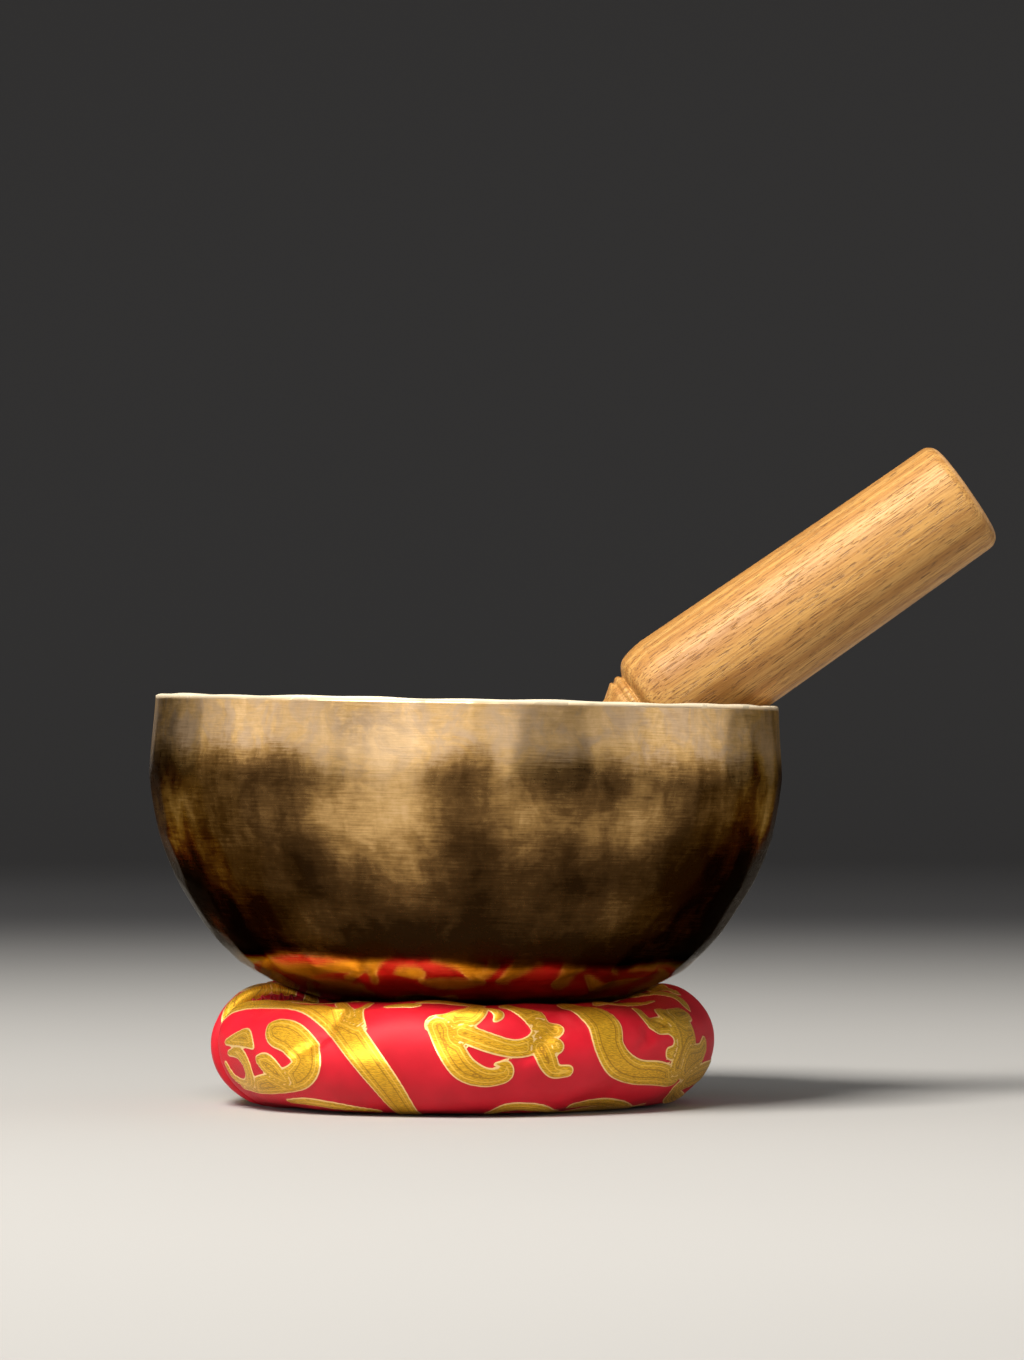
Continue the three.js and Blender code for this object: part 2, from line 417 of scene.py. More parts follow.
def patina_and_shade_field(height, rng):
    """How dark the outside is, 0 to 1.3, on the grid of its points: a bright top band whose lower
    edge wanders, then darker downwards, partly patina and partly painted shade standing in for
    the dark reflections low on the bowl, with patches, to the rubbed foot."""
    degrees = np.degrees(np.arange(BOWL_COLUMNS) * TURN / BOWL_COLUMNS) - 270
    below_rim = BOWL_HEIGHT - height
    wander = 1.3 * np.sin(np.radians(7 * degrees + 40)) + 0.9 * np.sin(np.radians(19 * degrees))
    field = 0.19 + 0.35 * smoothstep(7, 16, below_rim + wander)
    # Painted shade: this darkening down the side is partly patina and partly stands in for the dark
    # reflections on the lower bowl.
    field = field + 0.24 * smoothstep(20, 34, below_rim)
    field = field + 0.18 * smoothstep(36, 47, below_rim)
    # The patches are partly patina and partly painted reflection and highlight.
    for place, level, half_width, half_height, darker in patina_and_shade_patches(rng):
        turn = (degrees - place + 180) % 360 - 180
        far = (turn / half_width) ** 2 + ((below_rim - level) / half_height) ** 2
        field = field + darker * np.exp(-0.7 * far)
    edge = FOOT_EDGE + 0.7 * np.sin(np.radians(3 * degrees))
    edge = edge + 0.4 * np.sin(np.radians(11 * degrees))
    clean_foot = smoothstep(edge - 1.6, edge + 1.2, below_rim)
    return np.clip(field, 0, 1.3) * (1 - clean_foot) + FOOT_PATINA * clean_foot


def make_bowl(material):
    """One closed mesh; attributes keep the bowl's own frame, its filed rim, its inside, its
    hammer marks and its patina, into which painted shade and painted reflections are mixed."""
    rng = np.random.default_rng(11)
    outer = bowl_outside(rng)
    inner = bowl_inside(rng)
    rim = bowl_rim(outer, inner)
    radius = np.vstack([outer[0], rim[0], inner[0]])
    height = np.vstack([outer[1], rim[1], inner[1]])
    depth = np.vstack([outer[2], np.zeros_like(rim[0]), inner[2]])
    points = lathe_points(radius, height, BOWL_COLUMNS)
    rows, columns = radius.shape
    poles = [[0, 0, height[0].mean()], [0, 0, height[-1].mean()]]
    local = np.vstack([points.reshape(-1, 3), poles])
    faces = grid_faces(rows, columns, False).tolist()
    faces += pole_faces(rows, columns, rows * columns, rows * columns + 1)
    made = new_object("hammered_bowl", placed(local, bowl_place), faces, material, "bowl")
    filed = np.zeros(rows * columns + 2)
    first, last = len(outer[0]), len(outer[0]) + len(rim[0])
    filed[(first - 1) * columns : last * columns] = 1
    inside = np.zeros(rows * columns + 2)
    inside[last * columns :] = 1
    set_vectors(made, "local", local)
    set_values(made, "filed", filed)
    set_values(made, "inside", inside)
    set_values(made, "dent", np.append(depth.ravel(), [0, 0]))
    patina_and_shade = np.full((rows, columns), PLAIN_PATINA)
    patina_and_shade[:first] = patina_and_shade_field(outer[1], rng)
    set_values(made, "patina_and_shade", np.append(patina_and_shade.ravel(), [patina_and_shade[0].mean(), PLAIN_PATINA]))
    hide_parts("bowl")


# ---------------------------------------------------------------- mallet

HANDLE_LENGTH = 86.7
BARREL_LENGTH = 77.4
BARREL_NECK_RADIUS = 12.6
BARREL_END_RADIUS = 11.9
BARREL_EDGE = 2.6
BARREL_DOME = 0.4
BARREL_SHOULDER = 7.0
NECK_RADIUS = 8.8
BEAD_RADIUS = 0.8
MALLET_LENGTH = HANDLE_LENGTH + BARREL_LENGTH
MALLET_COLUMNS = 128
MALLET_TILT = math.radians(35)


def mallet_outline():
    """[radius, length] from the handle's round end to the barrel's free end."""
    neck = HANDLE_LENGTH
    total = MALLET_LENGTH
    grip = [(7.8, 8), (8, 16), (6.9, neck - 45), (5.7, neck - 23), (5.9, neck - 13)]
    grip += [(7.1, neck - 5.6)]
    collar = [(7.3, neck - 5.2), (8.6, neck - 3.4), (9.2, neck - 2.6), (9.15, neck - 2.3)]
    shoulder = [(NECK_RADIUS, neck), (11.1, neck + 1.4), (12.1, neck + 3.6)]
    shoulder += [(BARREL_NECK_RADIUS, neck + BARREL_SHOULDER)]
    edge_middle = (BARREL_END_RADIUS - BARREL_EDGE, total - BARREL_EDGE - BARREL_DOME)
    edge = arc(edge_middle, BARREL_EDGE, 0, 78, 10)
    side = [(BARREL_NECK_RADIUS, neck + BARREL_SHOULDER), (BARREL_END_RADIUS, edge_middle[1])]
    dome = [(6.0, total - 0.16), (0.3, total)]
    parts = [
        arc((1.8, 6), 6, -89, -15, 14),
        resampled(catmull_rom(grip), 60),
        collar,
        [(NECK_RADIUS + 0.05, neck - 2.0)],
        arc((NECK_RADIUS - 0.1, neck - BEAD_RADIUS - 0.1), BEAD_RADIUS, -62, 62, 9),
        resampled(catmull_rom(shoulder), 24),
        resampled(np.array(side), 90)[1:-1],
        edge,
        resampled(np.array([edge[-1], dome[0]]), 4)[1:],
        dome,
    ]
    return np.vstack(parts)


def mallet_place():
    """The mallet's own frame in millimetres: its length is +Z, from the handle's end."""
    corners = [Vector(v.co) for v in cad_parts["mallet"].data.vertices]
    roughly = Vector((math.cos(MALLET_TILT), 0, math.sin(MALLET_TILT)))
    start = min(corners, key=roughly.dot) / MM
    stop = max(corners, key=roughly.dot) / MM
    along = (stop - start).normalized()
    turn = along.to_track_quat("Z", "Y").to_matrix().to_4x4()
    return Matrix.Translation(start) @ turn


def make_mallet(material):
    """One closed turned mesh; the attribute keeps the wood's own frame."""
    outline = mallet_outline()
    angle = np.arange(MALLET_COLUMNS) * TURN / MALLET_COLUMNS
    along = outline[:, 1:]
    worn = 0.05 * np.sin(3 * angle + along / 21) + 0.04 * np.sin(5 * angle - along / 13 + 1)
    turned = 0.012 * np.sin(along * TURN / 1.7) * smoothstep(3, 9, outline[:, :1])
    radius = outline[:, :1] + (worn + turned) * smoothstep(0.5, 6, outline[:, :1])
    local = lathe_points(radius, along, MALLET_COLUMNS)
    rows, columns = radius.shape
    poles = [[0, 0, 0], [0, 0, MALLET_LENGTH]]
    local = np.vstack([local.reshape(-1, 3), poles])
    faces = grid_faces(rows, columns, False).tolist()
    faces += pole_faces(rows, columns, rows * columns, rows * columns + 1)
    made = new_object("turned_mallet", placed(local, mallet_place()), faces, material, "mallet")
    set_vectors(made, "local", local)
    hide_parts("mallet")


# ---------------------------------------------------------------- cushion

RING_COLUMNS = 560
RING_ROWS = 150
CLOSING_ANGLE = math.pi + 0.36
FRONT_AZIMUTH = 1.5 * math.pi
FLOOR_GAP = 0.02
SEAT_REACH = 56
STUFFING_GAP = 0.5
COVER_GAP = 0.12
FRONT_DIP = 3.5
PUCKER_HEIGHT = 1.0
PUCKER_WIDTH = 6.5
GROOVE_DEPTH = 2.8
GROOVE_WIDTH = 1.5
GOLD_RISE = 0.2
WADDING_INSET = 1.3

# The cloth simulation takes every third row and fourth column, at ten times life size.
CLOTH_ROW_STEP = 3
CLOTH_COLUMN_STEP = 4
CLOTH_STEPS = 20
CLOTH_ROOM = 0.1
CLOTH_CAP = 1.6
CONTACT_GAP = 0.002
SQUEEZE_COLUMNS = 96
TEN_TIMES_MM = 0.01


def tube_section(count):
    """The unpressed section as [radius, height], from the closing angle round to itself, and
    each point's distance round it from the widest place."""
    angle = np.linspace(CLOSING_ANGLE - TURN, CLOSING_ANGLE, 1441)
    reach = np.where(np.sin(angle) < 0, TUBE_DROP, TUBE_RISE)
    radius = TUBE_RING + TUBE_WIDTH / 2 * np.cos(angle)
    height = TUBE_MIDDLE_Z + reach * np.sin(angle)
    line = np.stack([radius, np.maximum(height, FLOOR_GAP)], axis=1)
    along = arc_lengths(line)
    equator = np.interp(0, angle, along)
    even = resampled(line, count + 1)[:-1]
    return even, np.arange(count) * (along[-1] / count) - equator


def bowl_underside(radius):
    """Height of the bowl's smooth outside above its underside, at a radius."""
    return np.interp(radius, bowl_side[:, 0], bowl_side[:, 1])


def pressed_by_bowl(points, margin):
    """Points pushed down, where they would enter the bowl, to a margin under it."""
    local = placed(points, bowl_place.inverted())
    radius = np.hypot(local[..., 0], local[..., 1])
    allowed = bowl_underside(radius) - margin
    lowered = np.minimum(local[..., 2], allowed)
    local[..., 2] = np.where(radius < SEAT_REACH, lowered, local[..., 2])
    return placed(local, bowl_place)


def grid_normals(points):
    """Unit normals of a grid of points that closes on itself both ways, facing out."""
    across = np.roll(points, -1, axis=1) - np.roll(points, 1, axis=1)
    around = np.roll(points, -1, axis=0) - np.roll(points, 1, axis=0)
    normal = np.cross(across, around)
    return normal / np.linalg.norm(normal, axis=-1, keepdims=True)


def ring_grid():
    """The stuffed ring: rows run round the tube, columns round the ring from the join."""
    section, up = tube_section(RING_ROWS)
    azimuth = JOIN_AZIMUTH + np.arange(RING_COLUMNS) * TURN / RING_COLUMNS
    radius = section[:, :1] * np.ones((1, RING_COLUMNS))
    height = section[:, 1:] * np.ones((1, RING_COLUMNS))
    points = np.stack([radius * np.cos(azimuth), radius * np.sin(azimuth), height], axis=-1)
    points[..., 0] += CUSHION_X
    return points, azimuth, up


# -- brocade pattern, drawn as strokes on the flat cloth: (mm along the tube, mm round it, width).
# Along is 0 at the front and grows to the right; round is 0 at the widest line and grows upwards.

RIBBON = [
    [(-67, 3, 6), (-63, 9, 7), (-57, 12.4, 7.2), (-50, 13.4, 7), (-42, 13, 6.8), (-34, 11, 6.4),
     (-26, 6.6, 6.2), (-19.6, 0.6, 6.2), (-15, -6, 6.2), (-12.8, -12, 6.2), (-12, -18, 6)],
    [(247.6, 5, 3), (246.4, 11, 6), (243, 16, 8), (236, 18.5, 7), (228, 17, 3)],
    [(-33, 18, 3), (-28, 13, 3.6), (-24.8, 9, 3.4), (-20.5, 5.4, 1.2)],
    [(-23.6, 18, 2), (-23.3, 13, 2.4), (-21.8, 8.6, 2.2), (-18.5, 4.4, 0.6)],
]
LEAF = [
    [(-42.6, 4.6, 1.8), (-40, 3.5, 5.8), (-35.6, 2.4, 6.6), (-31.2, -1.4, 6.8), (-33.6, -4.8, 6),
     (-39, -6.6, 5.4), (-46, -7.8, 4.8), (-52, -8.8, 3.6), (-58, -9.6, 1.6)],
    [(-58.5, 0.6, 1.4), (-54, 1.4, 3.2), (-50, 1.8, 4), (-46.4, 0.2, 1.2)],
    [(-57.5, -1.6, 1.4), (-53, -1.3, 2.8), (-49.8, -3.2, 3.6), (-50.2, -6.4, 3.4),
     (-54, -8.4, 2.8), (-58.6, -7.4, 2.6), (-60, -4, 1.6)],
    [(-44.6, -2.2, 2), (-42, -3, 4.6), (-39.6, -4.6, 4.4), (-38, -6, 3)],
    [(-15, 12.8, 5), (-11, 12.8, 5)],
]
CLOUD = [
    [(4, 15, 4.6), (3, 9.4, 6.2), (-0.4, 6.4, 6.6), (-4.2, 5.4, 5.2)],
    [(-4, 5, 4.6), (-1.6, 0.6, 5.2), (1, -3, 5), (5, -4.8, 4), (8.8, -4.4, 3.4),
     (9, -2.6, 2.2), (7, -2.3, 0.8)],
    [(0.6, 3.6, 4), (6, 1.6, 3.8), (11, 0.6, 3.6), (15, 1.8, 4.2), (17, 4.4, 5.2),
     (16, 8, 6), (13.4, 11.6, 5.6), (11.6, 16, 4)],
    [(17, 5.6, 4.6), (20, 5.2, 4.2)],
    [(17, 2.4, 5), (19.2, 1.2, 3.8)],
    [(16.4, 1, 4.6), (17.4, -1.8, 4.2), (19, -3.9, 3.2), (21.8, -4, 2.6)],
    [(6, 13, 2.2), (8.2, 8.4, 2.5), (7.2, 6.2, 1)],
]
SCROLL = [
    [(28.6, 17, 5.5), (29.4, 10.4, 7.1), (31, 5.4, 7.9), (31, 1, 7.1), (33.6, -2.7, 6.5),
     (38.6, -4.9, 5.7), (45, -5.3, 5.3), (51, -6.4, 4.3), (53.4, -7, 2.9)],
    [(45, 9.4, 3.8), (45.4, 5.6, 5), (49.4, 4.6, 4.8), (51.6, 1.6, 4.2), (50, -1, 3.6),
     (47.6, -1.2, 2.6)],
    [(52, 7.4, 4.8), (55, 4, 8.8), (54.6, -0.6, 8.8), (51.6, -3.4, 5.8)],
    [(56, 6.8, 4.8), (61, 7, 4.2)],
    [(57, -3.6, 7.8), (62.6, -2.8, 6.2), (65.6, -0.6, 4.4)],
    [(60.2, -8, 5.2), (68, -6.6, 5.4), (77, -5.6, 4.2)],
    [(56.6, -9.2, 3.2), (60, -12, 4.4), (67, -13.6, 4.6), (76, -14.6, 3.8)],
]
FILLERS = [
    [(-42, -12.6, 2), (-35, -11.7, 2.6), (-27, -12.5, 2.6), (-19, -15.4, 2)],
    [(7, -16.4, 2.4), (10, -13.2, 3.2), (14.6, -12.8, 3), (19, -14, 3), (24, -17.4, 2)],
    [(27, -14.7, 3), (34, -14.2, 4), (41, -14.8, 4), (48, -17.4, 3)],
    [(-10, 16, 1.6), (-5, 18, 3.6), (1, 18.4, 3.6), (6, 17, 1.6)],
    [(-54, 17, 1.6), (-46, 20, 4.2), (-36, 21.6, 4), (-28, 24, 2)],
    [(36, 15, 1.8), (42, 18.6, 4.4), (50, 18, 4.2), (56, 14.6, 2.2), (60, 14.4, 1)],
    [(66, 8, 1.6), (70, 12, 3.6), (68, 17, 4), (62, 20, 2)],
    [(74, 13, 2.6), (82, 18, 5), (91.5, 20.5, 5.4), (100, 19, 3)],
]
PATTERN = FILLERS + RIBBON + LEAF + CLOUD + SCROLL
PATTERN_REACH = 3.0
PATTERN_UP = 39
OVERLAP_LINE = 0.35


def stroke_distance(along, up, stroke):
    """Where a stroke's signed distance was worked out, and the distance, below 0 inside it."""
    line = catmull_rom(stroke, 6)
    low = (line[:, :2] - line[:, 2:]).min(axis=0) - PATTERN_REACH
    high = (line[:, :2] + line[:, 2:]).max(axis=0) + PATTERN_REACH
    near = (along > low[0]) & (along < high[0]) & (up > low[1]) & (up < high[1])
    spot = np.stack([along[near], up[near]], axis=1)
    nearest = np.full(len(spot), PATTERN_REACH)
    for start, stop in zip(line[:-1], line[1:]):
        step = stop - start
        t = (spot - start[:2]) @ step[:2] / max(step[:2] @ step[:2], 1e-9)
        t = np.clip(t, 0, 1)
        gap = np.hypot(*(spot - start[:2] - t[:, None] * step[:2]).T)
        nearest = np.minimum(nearest, gap - (start[2] + t * step[2]) / 2)
    return near, nearest


def pattern_distance(along, up):
    """Signed distance to the brocade's gold figures; a later figure lies on earlier ones.

    The pattern is woven again at the back and, a quarter round, above and below."""
    field = np.full(along.shape, PATTERN_REACH)
    half = math.pi * CUSHION_RADIUS
    repeats = [(0, 0), (half, 0), (half / 2, PATTERN_UP), (1.5 * half, PATTERN_UP)]
    repeats += [(half / 2, -PATTERN_UP), (-half / 2, PATTERN_UP)]
    for move_along, move_up in repeats:
        for stroke in PATTERN:
            moved = [(a + move_along, b + move_up, width) for a, b, width in stroke]
            near, distance = stroke_distance(along, up, moved)
            before = field[near]
            inside = np.maximum(distance, -PATTERN_REACH)
            over = np.where(distance < 0, inside, np.minimum(before, distance))
            on_gold = (before < 0) & (distance >= 0)
            field[near] = np.where(on_gold, np.maximum(before, -distance - OVERLAP_LINE), over)
    return field


def grid_object(name, points):
    """A mesh object of a grid that closes on itself both ways, at ten times life size."""
    rows, columns = points.shape[:2]
    mesh = bpy.data.meshes.new(name)
    places = points.reshape(-1, 3) * TEN_TIMES_MM
    mesh.from_pydata(places.tolist(), [], grid_faces(rows, columns, True).tolist())
    made = bpy.data.objects.new(name, mesh)
    bpy.context.scene.collection.objects.link(made)
    return made


def bowl_and_floor():
    """What the cloth is squeezed between: the bowl's smooth outside and the floor."""
    side = bowl_side[bowl_side[:, 0] > 4][::4]
    bowl_grid = placed(lathe_points(side[:, :1], side[:, 1:], SQUEEZE_COLUMNS), bowl_place)
    corners = [(CUSHION_X + x, y, 0) for x, y in ((-90, -90), (90, -90), (90, 90), (-90, 90))]
    solids = []
    for name, points, faces in (
        ("squeeze_bowl", bowl_grid.reshape(-1, 3), grid_faces(len(side), SQUEEZE_COLUMNS, False)),
        ("squeeze_floor", np.array(corners), np.array([[0, 1, 2, 3]])),
    ):
        mesh = bpy.data.meshes.new(name)
        mesh.from_pydata((points * TEN_TIMES_MM).tolist(), [], faces.tolist())
        solid = bpy.data.objects.new(name, mesh)
        bpy.context.scene.collection.objects.link(solid)
        solid.modifiers.new("solid", "COLLISION")
        solid.collision.thickness_outer = CONTACT_GAP
        solids.append(solid)
    return solids


def weight_group(made, name, weights):
    """A vertex group of one weight per vertex."""
    group = made.vertex_groups.new(name=name)
    for index, weight in enumerate(weights.ravel()):
        group.add([index], float(weight), "REPLACE")


def cloth_moves(points):
    """How far each point of a coarse ring goes when its slack cloth is blown up, in mm."""
    ring = grid_object("blown_ring", points)
    reach = np.hypot(points[..., 0] - CUSHION_X, points[..., 1])
    slack = np.clip((CUSHION_RADIUS - reach) / TUBE_WIDTH, 0, 1)
    sewn = np.zeros(reach.shape)
    sewn[[0, 1, -1]] = [[1], [0.5], [0.5]]
    weight_group(ring, "slack", slack)
    weight_group(ring, "sewn", sewn)
    solids = bowl_and_floor()

    cloth = ring.modifiers.new("cloth", "CLOTH")
    settings = cloth.settings
    settings.quality = 7
    settings.mass = 0.3
    settings.tension_stiffness = 14
    settings.compression_stiffness = 14
    settings.shear_stiffness = 6
    settings.bending_stiffness = 0.15
    settings.use_pressure = True
    settings.uniform_pressure_force = 4
    settings.vertex_group_mass = "sewn"
    settings.vertex_group_shrink = "slack"
    settings.shrink_min = 0.0
    settings.shrink_max = -0.09
    settings.effector_weights.gravity = 0
    cloth.collision_settings.distance_min = CONTACT_GAP
    for step in range(1, CLOTH_STEPS + 1):
        bpy.context.scene.frame_set(step)
    blown = ring.evaluated_get(bpy.context.evaluated_depsgraph_get()).data
    places = np.empty(points.size, np.float32)
    blown.vertices.foreach_get("co", places)
    moves = places.reshape(points.shape) / TEN_TIMES_MM - points
    for made in [ring, *solids]:
        bpy.data.objects.remove(made)
    bpy.context.scene.frame_set(1)
    return moves


def refined(values, steps, axis):
    """Values round a closed loop, at steps times as many places, by a smooth curve."""
    before = np.roll(values, 1, axis)
    after = np.roll(values, -1, axis)
    beyond = np.roll(values, -2, axis)
    parts = []
    for t in np.arange(steps) / steps:
        slope = (after - before) * t
        bend = (2 * before - 5 * values + 4 * after - beyond) * t**2
        twist = (3 * values - before - 3 * after + beyond) * t**3
        parts.append(values + 0.5 * (slope + bend + twist))
    shape = list(values.shape)
    shape[axis] *= steps
    return np.stack(parts, axis=axis + 1).reshape(shape)


def blown_up(points):
    """The dense ring after the cloth simulation, whose moves are capped and smoothed over."""
    moves = cloth_moves(points[::CLOTH_ROW_STEP, ::CLOTH_COLUMN_STEP])
    far = np.linalg.norm(moves, axis=-1, keepdims=True)
    moves = moves * np.minimum(1, CLOTH_CAP / np.maximum(far, 1e-6))
    moves = refined(refined(moves, CLOTH_ROW_STEP, 0), CLOTH_COLUMN_STEP, 1)
    return points + moves


def from_the_join(azimuth):
    """Distance round the ring's outside from the join of the tube's two ends, in mm."""
    return ((azimuth - JOIN_AZIMUTH + math.pi) % TURN - math.pi) * CUSHION_RADIUS


def stuffed_shape(points, azimuth, up):
    """The stuffing's lumps, the sunken front, the gathers in the hole and the bowl's seat."""
    side = azimuth[None, :]
    level = up[:, None]
    lumps = 0.4 * np.sin(3 * side + 0.6) + 0.25 * np.sin(7 * side + level / 11)
    lumps = lumps + 0.2 * np.sin(13 * side - level / 6 + 2)
    crest = smoothstep(4, 16, level) * (1 - smoothstep(24, 36, level))
    away = from_the_join(azimuth)[None, :]
    front = smoothstep(-1.2, 1.6, away) * (1 - smoothstep(112, 152, away))
    dip = -FRONT_DIP * front * crest
    in_hole = 1 - smoothstep(8, 20, np.minimum(level - up[0], up[-1] - level))
    gathers = 0.3 * np.sin(58 * side + 1.3 * np.sin(5 * side)) * in_hole
    push = lumps + dip + gathers - CLOTH_ROOM
    points = points + grid_normals(points) * push[..., None]
    points = pressed_by_bowl(points, STUFFING_GAP)
    points[..., 2] = np.maximum(points[..., 2], FLOOR_GAP + 0.1)
    return points


def shaped_cushion(points, azimuth, up, figures):
    """The ring after its simulation, with the groove of its join and its raised gold."""
    points = blown_up(stuffed_shape(points, azimuth, up))
    away = from_the_join(azimuth)[None, :]
    pucker = PUCKER_HEIGHT * np.exp(-((away / PUCKER_WIDTH) ** 2))
    groove = GROOVE_DEPTH * np.exp(-((away / GROOVE_WIDTH) ** 2))
    raised = GOLD_RISE * (1 - smoothstep(-0.35, 0.1, figures))
    points = points + grid_normals(points) * (pucker - groove + raised)[..., None]
    points = pressed_by_bowl(points, COVER_GAP)
    points[..., 2] = np.maximum(points[..., 2], FLOOR_GAP)
    return points


def make_cushion(material):
    """The brocade ring; returns its grid of points with their places round and up."""
    points, azimuth, up = ring_grid()
    rows, columns = points.shape[:2]
    along = (azimuth - FRONT_AZIMUTH) * CUSHION_RADIUS
    along_grid, up_grid = np.meshgrid(along, up)
    figures = pattern_distance(along_grid, up_grid)
    points = shaped_cushion(points, azimuth, up, figures)
    faces = grid_faces(rows, columns, True)
    made = new_object("brocade_cushion", points.reshape(-1, 3), faces, material, "cushion")
    set_values(made, "figures", figures)
    across, upward = along[1] - along[0], up[1] - up[0]
    row, column = np.divmod(np.arange(rows * columns), columns)
    corner_column = column[:, None] + np.array([0, 1, 1, 0])
    corner_row = row[:, None] + np.array([0, 0, 1, 1])
    cloth = [along[0] + corner_column * across, up[0] + corner_row * upward, 0 * corner_row]
    set_vectors(made, "cloth", np.stack(cloth, axis=-1), "CORNER")
    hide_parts("cushion_cover")
    return points, azimuth, up


THREAD_RADIUS = 0.2
STITCH_LIFT = 0.15
JOIN_PITCH = 1.3
JOIN_LIP = 0.7
JOIN_LOWEST = -9
JOIN_HIGHEST = 27
CLOSING_STITCHES = 96
CLOSING_REACH = 1.0


def thread(name, line, material):
    """A sewing thread along a line of points in mm, as one piece."""
    curve = bpy.data.curves.new(name, "CURVE")
    curve.dimensions = "3D"
    curve.bevel_depth = THREAD_RADIUS * MM
    curve.bevel_resolution = 3
    curve.use_fill_caps = True
    curve.materials.append(material)
    spline = curve.splines.new("POLY")
    spline.points.add(len(line) - 1)
    for point, place in zip(spline.points, line * MM):
        point.co = (*place, 1)
    made = bpy.data.objects.new(name, curve)
    bpy.context.scene.collection.objects.link(made)
    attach(made, "cushion")
    return made


def rounded_line(corners, per_span=6):
    """A line that runs smoothly through corners in space."""
    flat = [catmull_rom(np.asarray(corners)[:, [axis, axis]], per_span)[:, 0] for axis in range(3)]
    return np.stack(flat, axis=1)


def make_threads(points, azimuth, up, material):
    """Whip stitches across the join and all along the closing line in the hole."""
    lifted = points + grid_normals(points) * STITCH_LIFT
    spacing = up[1] - up[0]
    away = from_the_join(azimuth)
    lips = [int(np.argmin(np.abs(away - side))) for side in (-JOIN_LIP, JOIN_LIP)]
    lowest = int(np.argmin(np.abs(up - JOIN_LOWEST)))
    highest = int(np.argmin(np.abs(up - JOIN_HIGHEST)))
    corners = []
    for number, row in enumerate(range(lowest, highest, round(JOIN_PITCH / spacing))):
        corners.append(lifted[row, lips[number % 2]])
    join = thread("join_stitches", rounded_line(corners), material)
    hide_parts("join_thread")

    reach = round(CLOSING_REACH / spacing)
    crossings = 2 * CLOSING_STITCHES
    corners = []
    for number in range(crossings + 1):
        column = int(number * len(azimuth) / crossings) % len(azimuth)
        corners.append(lifted[reach if number % 2 else -reach, column])
    closing = thread("closing_stitches", rounded_line(corners, 4), material)
    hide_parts("closing_thread")


def make_wadding(points, material):
    """The ring of wadding, a little inside the cover."""
    coarse = points[::CLOTH_ROW_STEP, ::CLOTH_COLUMN_STEP]
    inner = coarse - grid_normals(coarse) * WADDING_INSET
    rows, columns = inner.shape[:2]
    faces = grid_faces(rows, columns, True)
    made = new_object("wadding_ring", inner.reshape(-1, 3), faces, material, "cushion")
    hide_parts("cushion_filling")


# ---------------------------------------------------------------- materials


